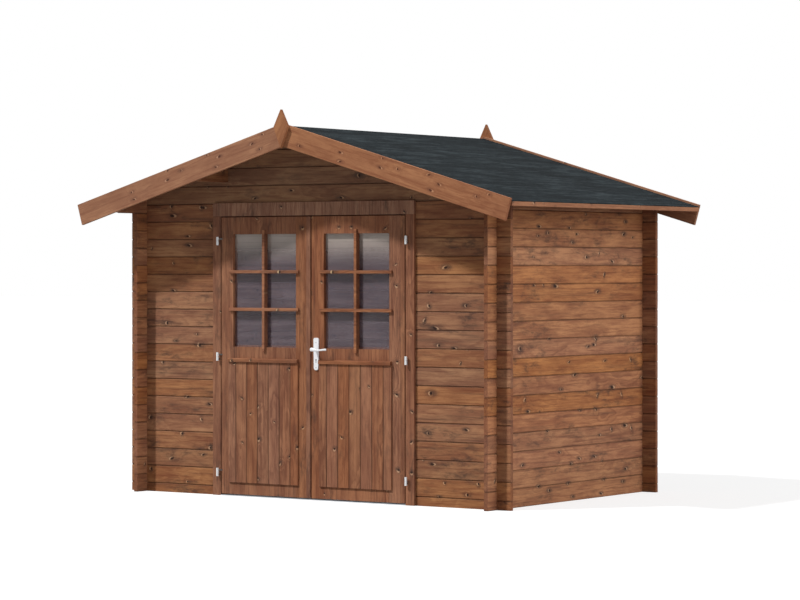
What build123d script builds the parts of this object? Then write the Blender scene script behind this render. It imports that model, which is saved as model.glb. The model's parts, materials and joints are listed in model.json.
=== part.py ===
from build123d import *
import math
import os

os.makedirs("parts", exist_ok=True)

# Wooden garden shed of horizontal logs that cross at the corners, with a low
# gable roof and a pair of half-glazed doors that open outwards.
# Millimetres. X runs along the front, Y from the front to the back, Z up.
# The origin is on the ground, under the middle of the whole shed.

# Walls
front_width = 2760
wall_depth = 1795
log_height = 114
log_thickness = 28
log_stub = 100
log_groove = 10
full_courses = 16

# Roof
roof_pitch = 16.2
plate_height = 107
roof_half_width = 1680
front_overhang = 318
rear_overhang = 215
board_thickness = 18
roof_board = 96
board_groove = 6
felt_thickness = 4
purlin_width = 40
purlin_height = 110
purlin_offset = 698
end_bevel = 28

# Roof edges
barge_width = 138
barge_thickness = 20
barge_rise = 13
eaves_thickness = 18
eaves_height = 27
finial_thickness = 24
finial_rise = 100
finial_waist_drop = 10
finial_foot_drop = 142
finial_half_width = 55

# Doorway
leaf_core_width = 682
leaf_strip_width = 31
leaf_thickness = 40
leaf_gap = 7
leaf_bottom = 12
leaf_top = 1792
stop_gap = 6
stop_depth = 20
jamb_face = 34
trim_cover = 30
trim_thickness = 18
header_top = 1885
back_trim_thickness = 22
threshold_thickness = 5
threshold_lip = 16
threshold_lip_thickness = 4

# Door leaves
stile_margin = 95
stile_margin_right = 85
window_bottom = 960
window_top = 1683
strip_proud = 5
field_margin = 64
field_bottom = 88
field_top = 862
field_proud = 10
field_core = 16
field_board = 87
field_joints = 6
field_groove = 6
panel_lap = 22
drip_height = 26
drip_proud = 20
glass_thickness = 4
glass_setback = 22
bead_width = 12
bead_setback = 3
bar_width = 20
bar_proud = 14
bar_lap = 26
cross_bars = 2

# Hinges
hinge_above_foot = 138
hinge_below_top = 152
hinge_reach = 13.5
hinge_proud = 17
barrel_radius = 8
barrel_length = 26
barrel_gap = 1
pin_radius = 3.5
pin_sides = 12
pin_play = 0.2
pin_height = 20
shank_thickness = 5
shank_height = 9
shank_sink = 5

# Handle on the right leaf
handle_x = 40
handle_z = 953
plate_top = 1026
plate_bottom = 822
plate_width = 40
plate_foot_width = 33
plate_thickness = 8
plate_corner = 12
foot_corner = 15
keyhole_level = 887
keyhole_radius = 4.5
keyhole_slot = 4
keyhole_drop = 20
keyhole_depth = 5
spindle_side = 8
spindle_play = 0.2
spindle_hole_radius = 8
neck_radius = 9
neck_gap = 0.3
lever_reach = 112
lever_standoff = 45
lever_thickness = 11
hub_height = 25
grip_height = 12
tip_height = 15
grip_dip = 4
lever_arris = 3

# Places worked out from the sizes above
slope = math.tan(math.radians(roof_pitch))
along = math.cos(math.radians(roof_pitch))
total_depth = wall_depth + front_overhang + rear_overhang + 2 * finial_thickness
front_y = finial_thickness + front_overhang - total_depth / 2
rear_y = front_y + wall_depth
side_x = front_width / 2
barge_front_y = front_y - front_overhang + barge_thickness
barge_rear_y = rear_y + rear_overhang - barge_thickness
front_wall_top = (full_courses + 0.5) * log_height
side_wall_top = full_courses * log_height
core_height = log_height / 2
ridge_under = side_wall_top + plate_height + side_x * slope
ridge_height = ridge_under + (board_thickness + felt_thickness) / along


def roof_under(x):
    """Height of the roof boards' underside at a distance from the ridge."""
    return ridge_under - abs(x) * slope


def save(piece, name):
    piece.part.label = name
    export_step(piece.part, f"parts/{name}.step")


def block(corner, opposite, mode=Mode.ADD):
    """A box between two opposite corners."""
    with Locations(tuple((a + b) / 2 for a, b in zip(corner, opposite))):
        Box(*[abs(b - a) for a, b in zip(corner, opposite)], mode=mode)


# The section of a wall: one strip as thick as a log, with a V groove on both
# faces where two logs meet. Pairs of plane coordinates, the second one is Z.
def stack_section(middle, bottom, top, joints):
    with Locations((middle, (bottom + top) / 2)):
        Rectangle(log_thickness, top - bottom)
    groove_side = log_groove / math.sqrt(2)
    faces = (middle - log_thickness / 2, middle + log_thickness / 2)
    with Locations(*[(face, z) for face in faces for z in joints]):
        Rectangle(groove_side, groove_side, rotation=45, mode=Mode.SUBTRACT)


front_joints = [(course + 0.5) * log_height for course in range(full_courses + 5)]
side_joints = [course * log_height for course in range(1, full_courses + 1)]

# In the square column where two walls cross, a front or rear log keeps the
# middle half of its height, and a side log keeps the middle half of its own,
# which lies half a course higher. The notches are each other's cores.
front_cores = [course * log_height for course in range(full_courses + 1)]
side_cores = [(course + 0.5) * log_height for course in range(full_courses + 1)]
wall_mid_x = side_x - log_thickness / 2
wall_mid_y = {"front": front_y + log_thickness / 2, "rear": rear_y - log_thickness / 2}
stub_x = side_x + log_stub

# Doorway places. A leaf is a framed core with a strip along its right edge.
leaf_width = leaf_core_width + leaf_strip_width
leaf_left = {"left": -leaf_gap / 2 - leaf_width, "right": leaf_gap / 2}
jamb_x = leaf_gap / 2 + leaf_width + leaf_gap
wall_opening_x = jamb_x + jamb_face
trim_x = wall_opening_x + trim_cover
frame_top = leaf_top + leaf_gap
trim_y = front_y - trim_thickness
leaf_y = trim_y
leaf_back_y = leaf_y + leaf_thickness
stop_y = leaf_back_y + stop_gap
wall_back_y = front_y + log_thickness
back_trim_y = wall_back_y + back_trim_thickness

# Front wall beside the doorway and rear wall, up to the gables
wall_spans = {
    "front_wall_left": ("front", -stub_x, -wall_opening_x),
    "front_wall_right": ("front", wall_opening_x, stub_x),
    "rear_wall": ("rear", -stub_x, stub_x),
}
for name, (end, start_x, stop_x) in wall_spans.items():
    with BuildPart() as wall:
        with BuildSketch(Plane.YZ.offset(start_x)):
            stack_section(wall_mid_y[end], 0, front_wall_top, front_joints)
        extrude(amount=stop_x - start_x)
        with Locations(*[(x, wall_mid_y[end], z) for x in (-wall_mid_x, wall_mid_x) for z in side_cores]):
            Box(log_thickness, log_thickness, core_height, mode=Mode.SUBTRACT)
    save(wall, name)

# Gables, cut to the slope of the roof and notched over the purlins and plates
for end in ("front", "rear"):
    with BuildPart() as gable:
        with BuildSketch(Plane.YZ.offset(-side_x)):
            stack_section(wall_mid_y[end], front_wall_top, ridge_under, front_joints)
        extrude(amount=front_width)
        with BuildSketch(Plane.XZ.offset(-wall_mid_y[end])):
            with BuildLine():
                Polyline(
                    (-side_x, front_wall_top),
                    (side_x, front_wall_top),
                    (side_x, roof_under(side_x)),
                    (0, ridge_under),
                    (-side_x, roof_under(side_x)),
                    close=True,
                )
            make_face()
        extrude(amount=log_thickness, both=True, mode=Mode.INTERSECT)
        with Locations(*[(x, wall_mid_y[end], side_cores[-1]) for x in (-wall_mid_x, wall_mid_x)]):
            Box(log_thickness, log_thickness, core_height, mode=Mode.SUBTRACT)
        for x in (-purlin_offset, 0, purlin_offset):
            purlin_bottom = roof_under(x) - purlin_height
            with Locations((x, wall_mid_y[end], purlin_bottom)):
                Box(
                    purlin_width,
                    log_thickness,
                    2 * purlin_height,
                    align=(Align.CENTER, Align.CENTER, Align.MIN),
                    mode=Mode.SUBTRACT,
                )
    save(gable, f"{end}_gable")

# Side walls, and above each one the wall plate: a log that runs on under the
# roof to the bargeboards, with its top cut to the slope
for side, sign in (("left", -1), ("right", 1)):
    with BuildPart() as wall:
        with BuildSketch(Plane.XZ.offset(log_stub - front_y)):
            stack_section(sign * wall_mid_x, 0, side_wall_top, side_joints)
        extrude(amount=-(wall_depth + 2 * log_stub))
        places = [(sign * wall_mid_x, y, z) for y in wall_mid_y.values() for z in front_cores]
        with Locations(*places):
            Box(log_thickness, log_thickness, core_height, mode=Mode.SUBTRACT)
    save(wall, f"{side}_wall")

    inner_x = side_x - log_thickness
    with BuildPart() as plate:
        with BuildSketch(Plane.XZ.offset(-barge_front_y)):
            with BuildLine():
                Polyline(
                    (sign * inner_x, side_wall_top + log_groove / 2),
                    (sign * (inner_x + log_groove / 2), side_wall_top),
                    (sign * (side_x - log_groove / 2), side_wall_top),
                    (sign * side_x, side_wall_top + log_groove / 2),
                    (sign * side_x, roof_under(side_x)),
                    (sign * inner_x, roof_under(inner_x)),
                    close=True,
                )
            make_face()
        extrude(amount=barge_front_y - barge_rear_y)
        with Locations(*[(sign * wall_mid_x, y, front_cores[-1]) for y in wall_mid_y.values()]):
            Box(log_thickness, log_thickness, core_height, mode=Mode.SUBTRACT)
        core_top = side_cores[-1] + core_height / 2
        with Locations(*[(sign * wall_mid_x, y, core_top) for y in wall_mid_y.values()]):
            Box(
                log_thickness,
                log_thickness,
                log_height,
                align=(Align.CENTER, Align.CENTER, Align.MIN),
                mode=Mode.SUBTRACT,
            )
        foot_edges = plate.edges().filter_by(Axis.X).group_by(Axis.Z)[0].sort_by(Axis.Y)
        chamfer((foot_edges[0], foot_edges[-1]), end_bevel)
    save(plate, f"{side}_wall_plate")

# Purlins: one under the ridge and one halfway down each slope
for name, x in (("left_purlin", -purlin_offset), ("ridge_purlin", 0), ("right_purlin", purlin_offset)):
    low_x = x - purlin_width / 2
    high_x = x + purlin_width / 2
    bottom = roof_under(x) - purlin_height
    with BuildPart() as purlin:
        with BuildSketch(Plane.XZ.offset(-barge_front_y)):
            with BuildLine():
                if x == 0:
                    Polyline(
                        (low_x, bottom),
                        (high_x, bottom),
                        (high_x, roof_under(high_x)),
                        (0, ridge_under),
                        (low_x, roof_under(low_x)),
                        close=True,
                    )
                else:
                    Polyline(
                        (low_x, bottom),
                        (high_x, bottom),
                        (high_x, roof_under(high_x)),
                        (low_x, roof_under(low_x)),
                        close=True,
                    )
            make_face()
        extrude(amount=barge_front_y - barge_rear_y)
        chamfer(purlin.edges().filter_by(Axis.X).group_by(Axis.Z)[0], end_bevel)
    save(purlin, name)

# Roof slopes: boards that run from the ridge to the eaves, with V joints under
# them, felt, eaves boards and bargeboards
board_rise = board_thickness / along
felt_rise = felt_thickness / along
eaves_x = roof_half_width - eaves_thickness
roof_depth = barge_rear_y - barge_front_y
roof_joints = math.ceil(roof_depth / roof_board) - 1
first_roof_joint = (barge_front_y + barge_rear_y - (roof_joints - 1) * roof_board) / 2
for side, sign in (("left", -1), ("right", 1)):
    with BuildPart() as boards:
        with BuildSketch(Plane.XZ.offset(-barge_front_y)):
            with BuildLine():
                Polyline(
                    (0, ridge_under),
                    (sign * eaves_x, roof_under(eaves_x)),
                    (sign * eaves_x, roof_under(eaves_x) + board_rise),
                    (0, ridge_under + board_rise),
                    close=True,
                )
            make_face()
        extrude(amount=barge_front_y - barge_rear_y)
        # the joints start just beyond the ridge, to cut through the whole end
        underside = Plane(
            origin=(-sign * board_groove, 0, ridge_under + board_groove * slope),
            x_dir=(0, 1, 0),
            z_dir=(sign * along, 0, -along * slope),
        )
        groove_side = board_groove / math.sqrt(2)
        with BuildSketch(underside):
            with Locations(*[(first_roof_joint + joint * roof_board, 0) for joint in range(roof_joints)]):
                Rectangle(groove_side, groove_side, rotation=45)
        extrude(amount=2 * roof_half_width, mode=Mode.SUBTRACT)
    save(boards, f"{side}_roof_boards")

    with BuildPart() as felt:
        with BuildSketch(Plane.XZ.offset(-barge_front_y)):
            with BuildLine():
                Polyline(
                    (0, ridge_under + board_rise),
                    (sign * roof_half_width, roof_under(roof_half_width) + board_rise),
                    (sign * roof_half_width, roof_under(roof_half_width) + board_rise + felt_rise),
                    (0, ridge_height),
                    close=True,
                )
            make_face()
        extrude(amount=barge_front_y - barge_rear_y)
    save(felt, f"{side}_roof_felt")

    eaves_top = roof_under(roof_half_width) + board_rise
    with BuildPart() as eaves:
        with BuildSketch(Plane.XZ.offset(-barge_front_y)):
            with BuildLine():
                Polyline(
                    (sign * eaves_x, eaves_top - eaves_height),
                    (sign * roof_half_width, eaves_top - eaves_height),
                    (sign * roof_half_width, eaves_top),
                    (sign * eaves_x, roof_under(eaves_x) + board_rise),
                    close=True,
                )
            make_face()
        extrude(amount=barge_front_y - barge_rear_y)
    save(eaves, f"{side}_eaves_board")

    barge_top = ridge_height + barge_rise
    end_top = barge_top - roof_half_width * slope
    foot_x = roof_half_width - barge_width * math.sin(math.radians(roof_pitch))
    foot_z = end_top - barge_width * along
    for end, start_y in (("front", barge_front_y - barge_thickness), ("rear", barge_rear_y)):
        with BuildPart() as barge:
            with BuildSketch(Plane.XZ.offset(-start_y)):
                with BuildLine():
                    Polyline(
                        (0, barge_top),
                        (sign * roof_half_width, end_top),
                        (sign * foot_x, foot_z),
                        (0, barge_top - barge_width / along),
                        close=True,
                    )
                make_face()
            extrude(amount=-barge_thickness)
        save(barge, f"{end}_bargeboard_{side}")

# Kite-shaped finials over the joints of the bargeboards
finial_faces = {"front": -total_depth / 2, "rear": total_depth / 2 - finial_thickness}
for end, start_y in finial_faces.items():
    with BuildPart() as finial:
        with BuildSketch(Plane.XZ.offset(-start_y)):
            with BuildLine():
                Polyline(
                    (0, ridge_height - finial_foot_drop),
                    (finial_half_width, ridge_height - finial_waist_drop),
                    (0, ridge_height + finial_rise),
                    (-finial_half_width, ridge_height - finial_waist_drop),
                    close=True,
                )
            make_face()
        extrude(amount=-finial_thickness)
    save(finial, f"{end}_finial")

# Door frame: jambs against the log ends, with a stop and a cover flange inside
for side, sign in (("left", -1), ("right", 1)):
    stop_x = jamb_x - stop_depth
    stop_top = frame_top - stop_depth
    with BuildPart() as jamb:
        block((sign * jamb_x, front_y, 0), (sign * wall_opening_x, stop_y, frame_top))
        block((sign * stop_x, stop_y, 0), (sign * wall_opening_x, back_trim_y, stop_top))
        block((sign * wall_opening_x, wall_back_y, 0), (sign * trim_x, back_trim_y, stop_top))
    save(jamb, f"{side}_jamb")

    with BuildPart() as trim:
        block((sign * jamb_x, trim_y, 0), (sign * trim_x, front_y, frame_top))
    save(trim, f"{side}_door_trim")

with BuildPart() as head:
    block((-wall_opening_x, front_y, frame_top), (wall_opening_x, stop_y, front_wall_top))
    block((-wall_opening_x, stop_y, stop_top), (wall_opening_x, back_trim_y, front_wall_top))
    block((-trim_x, wall_back_y, stop_top), (trim_x, back_trim_y, front_wall_top + trim_cover))
save(head, "door_frame_head")

with BuildPart() as header:
    block((-trim_x, trim_y, frame_top), (trim_x, front_y, header_top))
save(header, "door_header_trim")

with BuildPart() as threshold:
    block((-jamb_x, trim_y, 0), (jamb_x, stop_y, threshold_thickness))
    block((-stop_x, stop_y, 0), (stop_x, back_trim_y, threshold_thickness))
    block((-stop_x, stop_y, 0), (stop_x, stop_y + threshold_lip_thickness, threshold_lip))
save(threshold, "door_threshold")

# Door leaves. Both have the same build, seen from outside, from left to right:
# a stile, the glazed and boarded middle, a stile and the strip.
axis_x = jamb_x + hinge_reach
axis_y = leaf_y - hinge_proud
glass_y = leaf_y + glass_setback
field_y = leaf_y - field_proud
bead_y = glass_y + glass_thickness
spindle_x = leaf_left["right"] + handle_x
bar_pitch = (window_top - window_bottom) / (cross_bars + 1)

for side in ("left", "right"):
    left_x = leaf_left[side]
    core_right_x = left_x + leaf_core_width
    window_left = left_x + stile_margin
    window_right = core_right_x - stile_margin_right
    window_mid_x = (window_left + window_right) / 2
    field_left = left_x + field_margin
    field_right = core_right_x - field_margin
    field_mid_x = (field_left + field_right) / 2

    with BuildPart() as frame:
        block((left_x, leaf_y, leaf_bottom), (core_right_x, leaf_back_y, leaf_top))
        block(
            (window_left, leaf_y, window_bottom),
            (window_right, leaf_back_y, window_top),
            mode=Mode.SUBTRACT,
        )
        block(
            (field_left + panel_lap, leaf_y, field_bottom + panel_lap),
            (field_right - panel_lap, leaf_back_y, field_top - panel_lap),
            mode=Mode.SUBTRACT,
        )
        # beads behind the glass, against the sides of the window
        block(
            (window_left, bead_y, window_bottom),
            (window_right, leaf_back_y - bead_setback, window_top),
        )
        block(
            (window_left + bead_width, bead_y, window_bottom + bead_width),
            (window_right - bead_width, leaf_back_y, window_top - bead_width),
            mode=Mode.SUBTRACT,
        )
        if side == "right":
            with Locations(Location((spindle_x, leaf_y, handle_z), (90, 0, 0))):
                Cylinder(
                    spindle_hole_radius,
                    3 * leaf_thickness,
                    mode=Mode.SUBTRACT,
                )
    save(frame, f"{side}_leaf_frame")

    # the meeting strip stands proud of the leaf, the one at the hinges is flush
    strip_y = leaf_y - strip_proud if side == "left" else leaf_y
    with BuildPart() as strip:
        block(
            (core_right_x, strip_y, leaf_bottom),
            (core_right_x + leaf_strip_width, leaf_back_y, leaf_top),
        )
    save(strip, f"{side}_leaf_strip")

    with BuildPart() as panel:
        block((field_left, field_y, field_bottom), (field_right, leaf_y, field_top))
        block(
            (field_left + panel_lap, leaf_y, field_bottom + panel_lap),
            (field_right - panel_lap, leaf_y + field_core, field_top - panel_lap),
        )
        groove_side = field_groove / math.sqrt(2)
        first_joint = field_mid_x - (field_joints - 1) * field_board / 2
        grooves = [(first_joint + step * field_board, field_y) for step in range(field_joints)]
        with BuildSketch(Plane.XY.offset(field_bottom)):
            with Locations(*grooves):
                Rectangle(groove_side, groove_side, rotation=45)
        extrude(amount=field_top - field_bottom, mode=Mode.SUBTRACT)
    save(panel, f"{side}_leaf_panel")

    with BuildPart() as drip:
        block((field_left, leaf_y - drip_proud, field_top), (field_right, leaf_y, field_top + drip_height))
        top_edge = drip.edges().filter_by(Axis.X).group_by(Axis.Z)[-1].sort_by(Axis.Y)[0]
        chamfer(top_edge, drip_height / 5, drip_proud / 2)
    save(drip, f"{side}_leaf_drip_rail")

    with BuildPart() as glass:
        block(
            (window_left, glass_y, window_bottom),
            (window_right, glass_y + glass_thickness, window_top),
        )
    save(glass, f"{side}_leaf_glass")

    # The crossed bars reach back to the glass inside the window and lap over
    # the face of the leaf at their ends
    bar_face_y = leaf_y - bar_proud
    with BuildPart() as bars:
        low_x = window_mid_x - bar_width / 2
        high_x = window_mid_x + bar_width / 2
        block((low_x, bar_face_y, window_bottom - bar_lap), (high_x, leaf_y, window_top + bar_lap))
        block((low_x, leaf_y, window_bottom), (high_x, glass_y, window_top))
        for step in range(1, cross_bars + 1):
            low_z = window_bottom + step * bar_pitch - bar_width / 2
            high_z = low_z + bar_width
            block((window_left - bar_lap, bar_face_y, low_z), (window_right + bar_lap, leaf_y, high_z))
            block((window_left, leaf_y, low_z), (window_right, glass_y, high_z))
    save(bars, f"{side}_leaf_glazing_bars")

# Barrel hinges: the lower barrel with the pin is on the frame, the upper one,
# bored over the pin, is on the leaf. A flat shank carries each of them.
hinge_levels = (
    leaf_bottom + hinge_above_foot,
    (leaf_bottom + hinge_above_foot + leaf_top - hinge_below_top) / 2,
    leaf_top - hinge_below_top,
)
hinge_sides = (
    ("left", -1, leaf_left["left"]),
    ("right", 1, leaf_left["right"] + leaf_width),
)
for side, sign, leaf_edge in hinge_sides:
    hinge_x = sign * axis_x
    with BuildPart() as fixed:
        for z in hinge_levels:
            with BuildSketch(Plane.XY.offset(z - barrel_gap / 2)):
                with Locations((hinge_x, axis_y)):
                    Circle(barrel_radius)
            extrude(amount=-barrel_length)
            with BuildSketch(Plane.XY.offset(z - barrel_gap / 2)):
                with Locations((hinge_x, axis_y)):
                    RegularPolygon(pin_radius, pin_sides)
            extrude(amount=pin_height)
            shank_z = z - (barrel_gap + barrel_length) / 2
            block(
                (hinge_x - shank_thickness / 2, axis_y, shank_z - shank_height / 2),
                (hinge_x + shank_thickness / 2, trim_y, shank_z + shank_height / 2),
            )
    save(fixed, f"{side}_hinge_frame_halves")

    # the shank of a leaf half runs across the gap to the face of the leaf
    shank_end_x = leaf_edge - sign * shank_sink
    side_way = -sign * shank_thickness / 2
    with BuildPart() as moving:
        for z in hinge_levels:
            with BuildSketch(Plane.XY.offset(z + barrel_gap / 2)):
                with Locations((hinge_x, axis_y)):
                    Circle(barrel_radius)
            extrude(amount=barrel_length)
            shank_z = z + (barrel_gap + barrel_length) / 2
            with BuildSketch(Plane.XY.offset(shank_z - shank_height / 2)):
                with BuildLine():
                    Polyline(
                        (hinge_x, axis_y),
                        (shank_end_x + side_way, leaf_y),
                        (shank_end_x - side_way, leaf_y),
                        (hinge_x, axis_y + shank_thickness),
                        close=True,
                    )
                make_face()
            extrude(amount=shank_height)
            with BuildSketch(Plane.XY.offset(z + barrel_gap / 2)):
                with Locations((hinge_x, axis_y)):
                    RegularPolygon(pin_radius + pin_play, pin_sides)
            extrude(amount=pin_height + pin_play - barrel_gap, mode=Mode.SUBTRACT)
    save(moving, f"{side}_hinge_leaf_halves")

# Handle: a long plate on each face of the right leaf, a square spindle through
# both and a lever on each end of it
plate_hole_radius = spindle_side / math.sqrt(2) + spindle_play
hub_reach = hub_height / 2
# Stations along a lever: distance from the spindle, height, rise of its middle
lever_stations = (
    (-hub_reach, hub_height / 2, 0),
    (-hub_reach / 2, hub_height, 0),
    (hub_reach / 2, hub_height, 0),
    (lever_reach / 3, 1.25 * grip_height, -grip_dip),
    (2 * lever_reach / 3, grip_height, -grip_dip / 2),
    (lever_reach, tip_height, 0),
)
upper_points = [(spindle_x + x, handle_z + rise + height / 2) for x, height, rise in lever_stations]
lower_points = [(spindle_x + x, handle_z + rise - height / 2) for x, height, rise in lever_stations]
handle_faces = (("outer", leaf_y, -1), ("inner", leaf_back_y, 1))
for face, face_y, outward in handle_faces:
    with BuildPart() as plate:
        with BuildSketch(Plane.XZ.offset(-face_y)) as outline:
            with BuildLine():
                Polyline(
                    (spindle_x - plate_foot_width / 2, plate_bottom),
                    (spindle_x + plate_foot_width / 2, plate_bottom),
                    (spindle_x + plate_width / 2, plate_top),
                    (spindle_x - plate_width / 2, plate_top),
                    close=True,
                )
            make_face()
            fillet(outline.vertices().group_by(Axis.Y)[0], foot_corner)
            fillet(outline.vertices().group_by(Axis.Y)[-1], plate_corner)
            with Locations((spindle_x, handle_z)):
                Circle(plate_hole_radius, mode=Mode.SUBTRACT)
        extrude(amount=-outward * plate_thickness)
        # the keyhole, a round hole over a slot
        with BuildSketch(Plane.XZ.offset(-(face_y + outward * plate_thickness))):
            with Locations((spindle_x, keyhole_level)):
                Circle(keyhole_radius)
            with Locations((spindle_x, keyhole_level - keyhole_drop / 2)):
                Rectangle(keyhole_slot, keyhole_drop)
        extrude(amount=outward * keyhole_depth, mode=Mode.SUBTRACT)
    save(plate, f"{face}_handle_plate")

    neck_y = face_y + outward * (plate_thickness + neck_gap)
    grip_y = neck_y + outward * lever_standoff
    with BuildPart() as lever:
        with BuildSketch(Plane.XZ.offset(-grip_y)):
            with BuildLine():
                Polyline(*upper_points, *reversed(lower_points), close=True)
            make_face()
        extrude(amount=lever_thickness / 2, both=True)
        chamfer(lever.faces().filter_by(Axis.Y).edges(), lever_arris)
        with BuildSketch(Plane.XZ.offset(-neck_y)):
            with Locations((spindle_x, handle_z)):
                Circle(neck_radius)
        extrude(amount=-outward * lever_standoff)
    save(lever, f"{face}_lever")

with BuildPart() as spindle:
    with BuildSketch(Plane.XZ.offset(-(leaf_y - plate_thickness - neck_gap))):
        with Locations((spindle_x, handle_z)):
            Rectangle(spindle_side, spindle_side)
    extrude(amount=-(leaf_thickness + 2 * (plate_thickness + neck_gap)))
save(spindle, "handle_spindle")
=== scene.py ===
import json
import math

import bpy
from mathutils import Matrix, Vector


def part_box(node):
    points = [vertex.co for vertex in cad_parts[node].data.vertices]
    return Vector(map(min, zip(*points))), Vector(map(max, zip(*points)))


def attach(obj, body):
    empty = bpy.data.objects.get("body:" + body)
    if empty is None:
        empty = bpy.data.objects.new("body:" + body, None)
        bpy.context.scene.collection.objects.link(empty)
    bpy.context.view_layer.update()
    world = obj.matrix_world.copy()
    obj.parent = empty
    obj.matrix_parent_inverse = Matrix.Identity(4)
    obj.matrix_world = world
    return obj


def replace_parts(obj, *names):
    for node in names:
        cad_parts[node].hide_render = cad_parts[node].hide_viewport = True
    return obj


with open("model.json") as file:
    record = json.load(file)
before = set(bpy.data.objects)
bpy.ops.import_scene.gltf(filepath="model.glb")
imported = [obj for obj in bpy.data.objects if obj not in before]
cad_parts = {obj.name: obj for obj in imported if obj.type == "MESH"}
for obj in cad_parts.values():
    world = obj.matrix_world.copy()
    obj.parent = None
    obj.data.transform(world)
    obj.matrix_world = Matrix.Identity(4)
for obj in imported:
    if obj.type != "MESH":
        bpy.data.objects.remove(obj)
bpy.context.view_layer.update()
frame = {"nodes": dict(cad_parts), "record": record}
nodes = frame["nodes"]
print("frame:", len(nodes), "nodes")


def rgb(red, green, blue):
    # 0-255 screen values to the linear colour that a shader takes
    def linear(value):
        value /= 255
        return value / 12.92 if value <= 0.04045 else ((value + 0.055) / 1.055) ** 2.4
    return (linear(red), linear(green), linear(blue), 1.0)


class Link:
    # an output of a node; arithmetic on it adds Math nodes
    def __init__(self, tree, socket=None):
        self.tree = tree
        self.socket = socket

    def node(self, kind, settings=None, sockets=None, output=0):
        made = self.tree.nodes.new(kind)
        for key, value in (settings or {}).items():
            if key == "stops":
                ramp = made.color_ramp
                while len(ramp.elements) < len(value):
                    ramp.elements.new(1.0)
                for element, (position, colour) in zip(ramp.elements, value):
                    element.position = position
                    element.color = colour
            else:
                setattr(made, key, value)
        for key, value in (sockets or {}).items():
            if isinstance(value, Link):
                self.tree.links.new(value.socket, made.inputs[key])
            else:
                made.inputs[key].default_value = value
        return Link(self.tree, made.outputs[output] if len(made.outputs) else None)

    def out(self, name):
        return Link(self.tree, self.socket.node.outputs[name])

    def maths(self, operation, *values):
        return self.node("ShaderNodeMath", {"operation": operation}, dict(enumerate(values)))

    def __add__(self, other):
        return self.maths("ADD", self, other)

    def __sub__(self, other):
        return self.maths("SUBTRACT", self, other)

    def __rsub__(self, other):
        return self.maths("SUBTRACT", other, self)

    def __mul__(self, other):
        return self.maths("MULTIPLY", self, other)

    def __truediv__(self, other):
        return self.maths("DIVIDE", self, other)

    def __rtruediv__(self, other):
        return self.maths("DIVIDE", other, self)

    def __pow__(self, other):
        return self.maths("POWER", self, other)

    def __lt__(self, other):
        return self.maths("LESS_THAN", self, other)

    def __gt__(self, other):
        return self.maths("GREATER_THAN", self, other)

    __radd__ = __add__
    __rmul__ = __mul__

    def floor(self):
        return self.maths("FLOOR", self)

    def size(self):
        return self.maths("ABSOLUTE", self)

    def smooth(self, low, high):
        # 0 at low, 1 at high, eased between them
        return self.node("ShaderNodeMapRange", {"interpolation_type": "SMOOTHSTEP"},
                         {"Value": self, "From Min": low, "From Max": high})

    def dot(self, axis):
        return self.node("ShaderNodeVectorMath", {"operation": "DOT_PRODUCT"},
                         {0: self, 1: tuple(axis)}, "Value")

    def distance(self, place):
        return self.node("ShaderNodeVectorMath", {"operation": "DISTANCE"}, {0: self, 1: place}, "Value")

    def vector(self, x, y, z=0.0):
        return self.node("ShaderNodeCombineXYZ", None, {0: x, 1: y, 2: z})

    def noise(self, where, scale=1.0, detail=3.0, roughness=0.55, distortion=0.0):
        return self.node("ShaderNodeTexNoise", None, {
            "Vector": where, "Scale": scale, "Detail": detail,
            "Roughness": roughness, "Distortion": distortion})

    def mix(self, factor, first, second):
        # the colour halves of the Mix node are its sockets 6 and 7, and output 2
        return self.node("ShaderNodeMix", {"data_type": "RGBA"}, {0: factor, 6: first, 7: second}, 2)


def newMaterial(name):
    material = bpy.data.materials.new(name)
    material.use_nodes = True
    tree = material.node_tree
    tree.nodes.clear()
    return material, Link(tree)


def surface(start, sockets, bumpHeight=None, bumpStrength=0.5, bumpDistance=0.001):
    if bumpHeight is not None:
        sockets["Normal"] = start.node("ShaderNodeBump", None, {
            "Height": bumpHeight, "Strength": bumpStrength, "Distance": bumpDistance})
    shader = start.node("ShaderNodeBsdfPrincipled", None, sockets)
    start.node("ShaderNodeOutputMaterial", None, {"Surface": shader})


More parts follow.
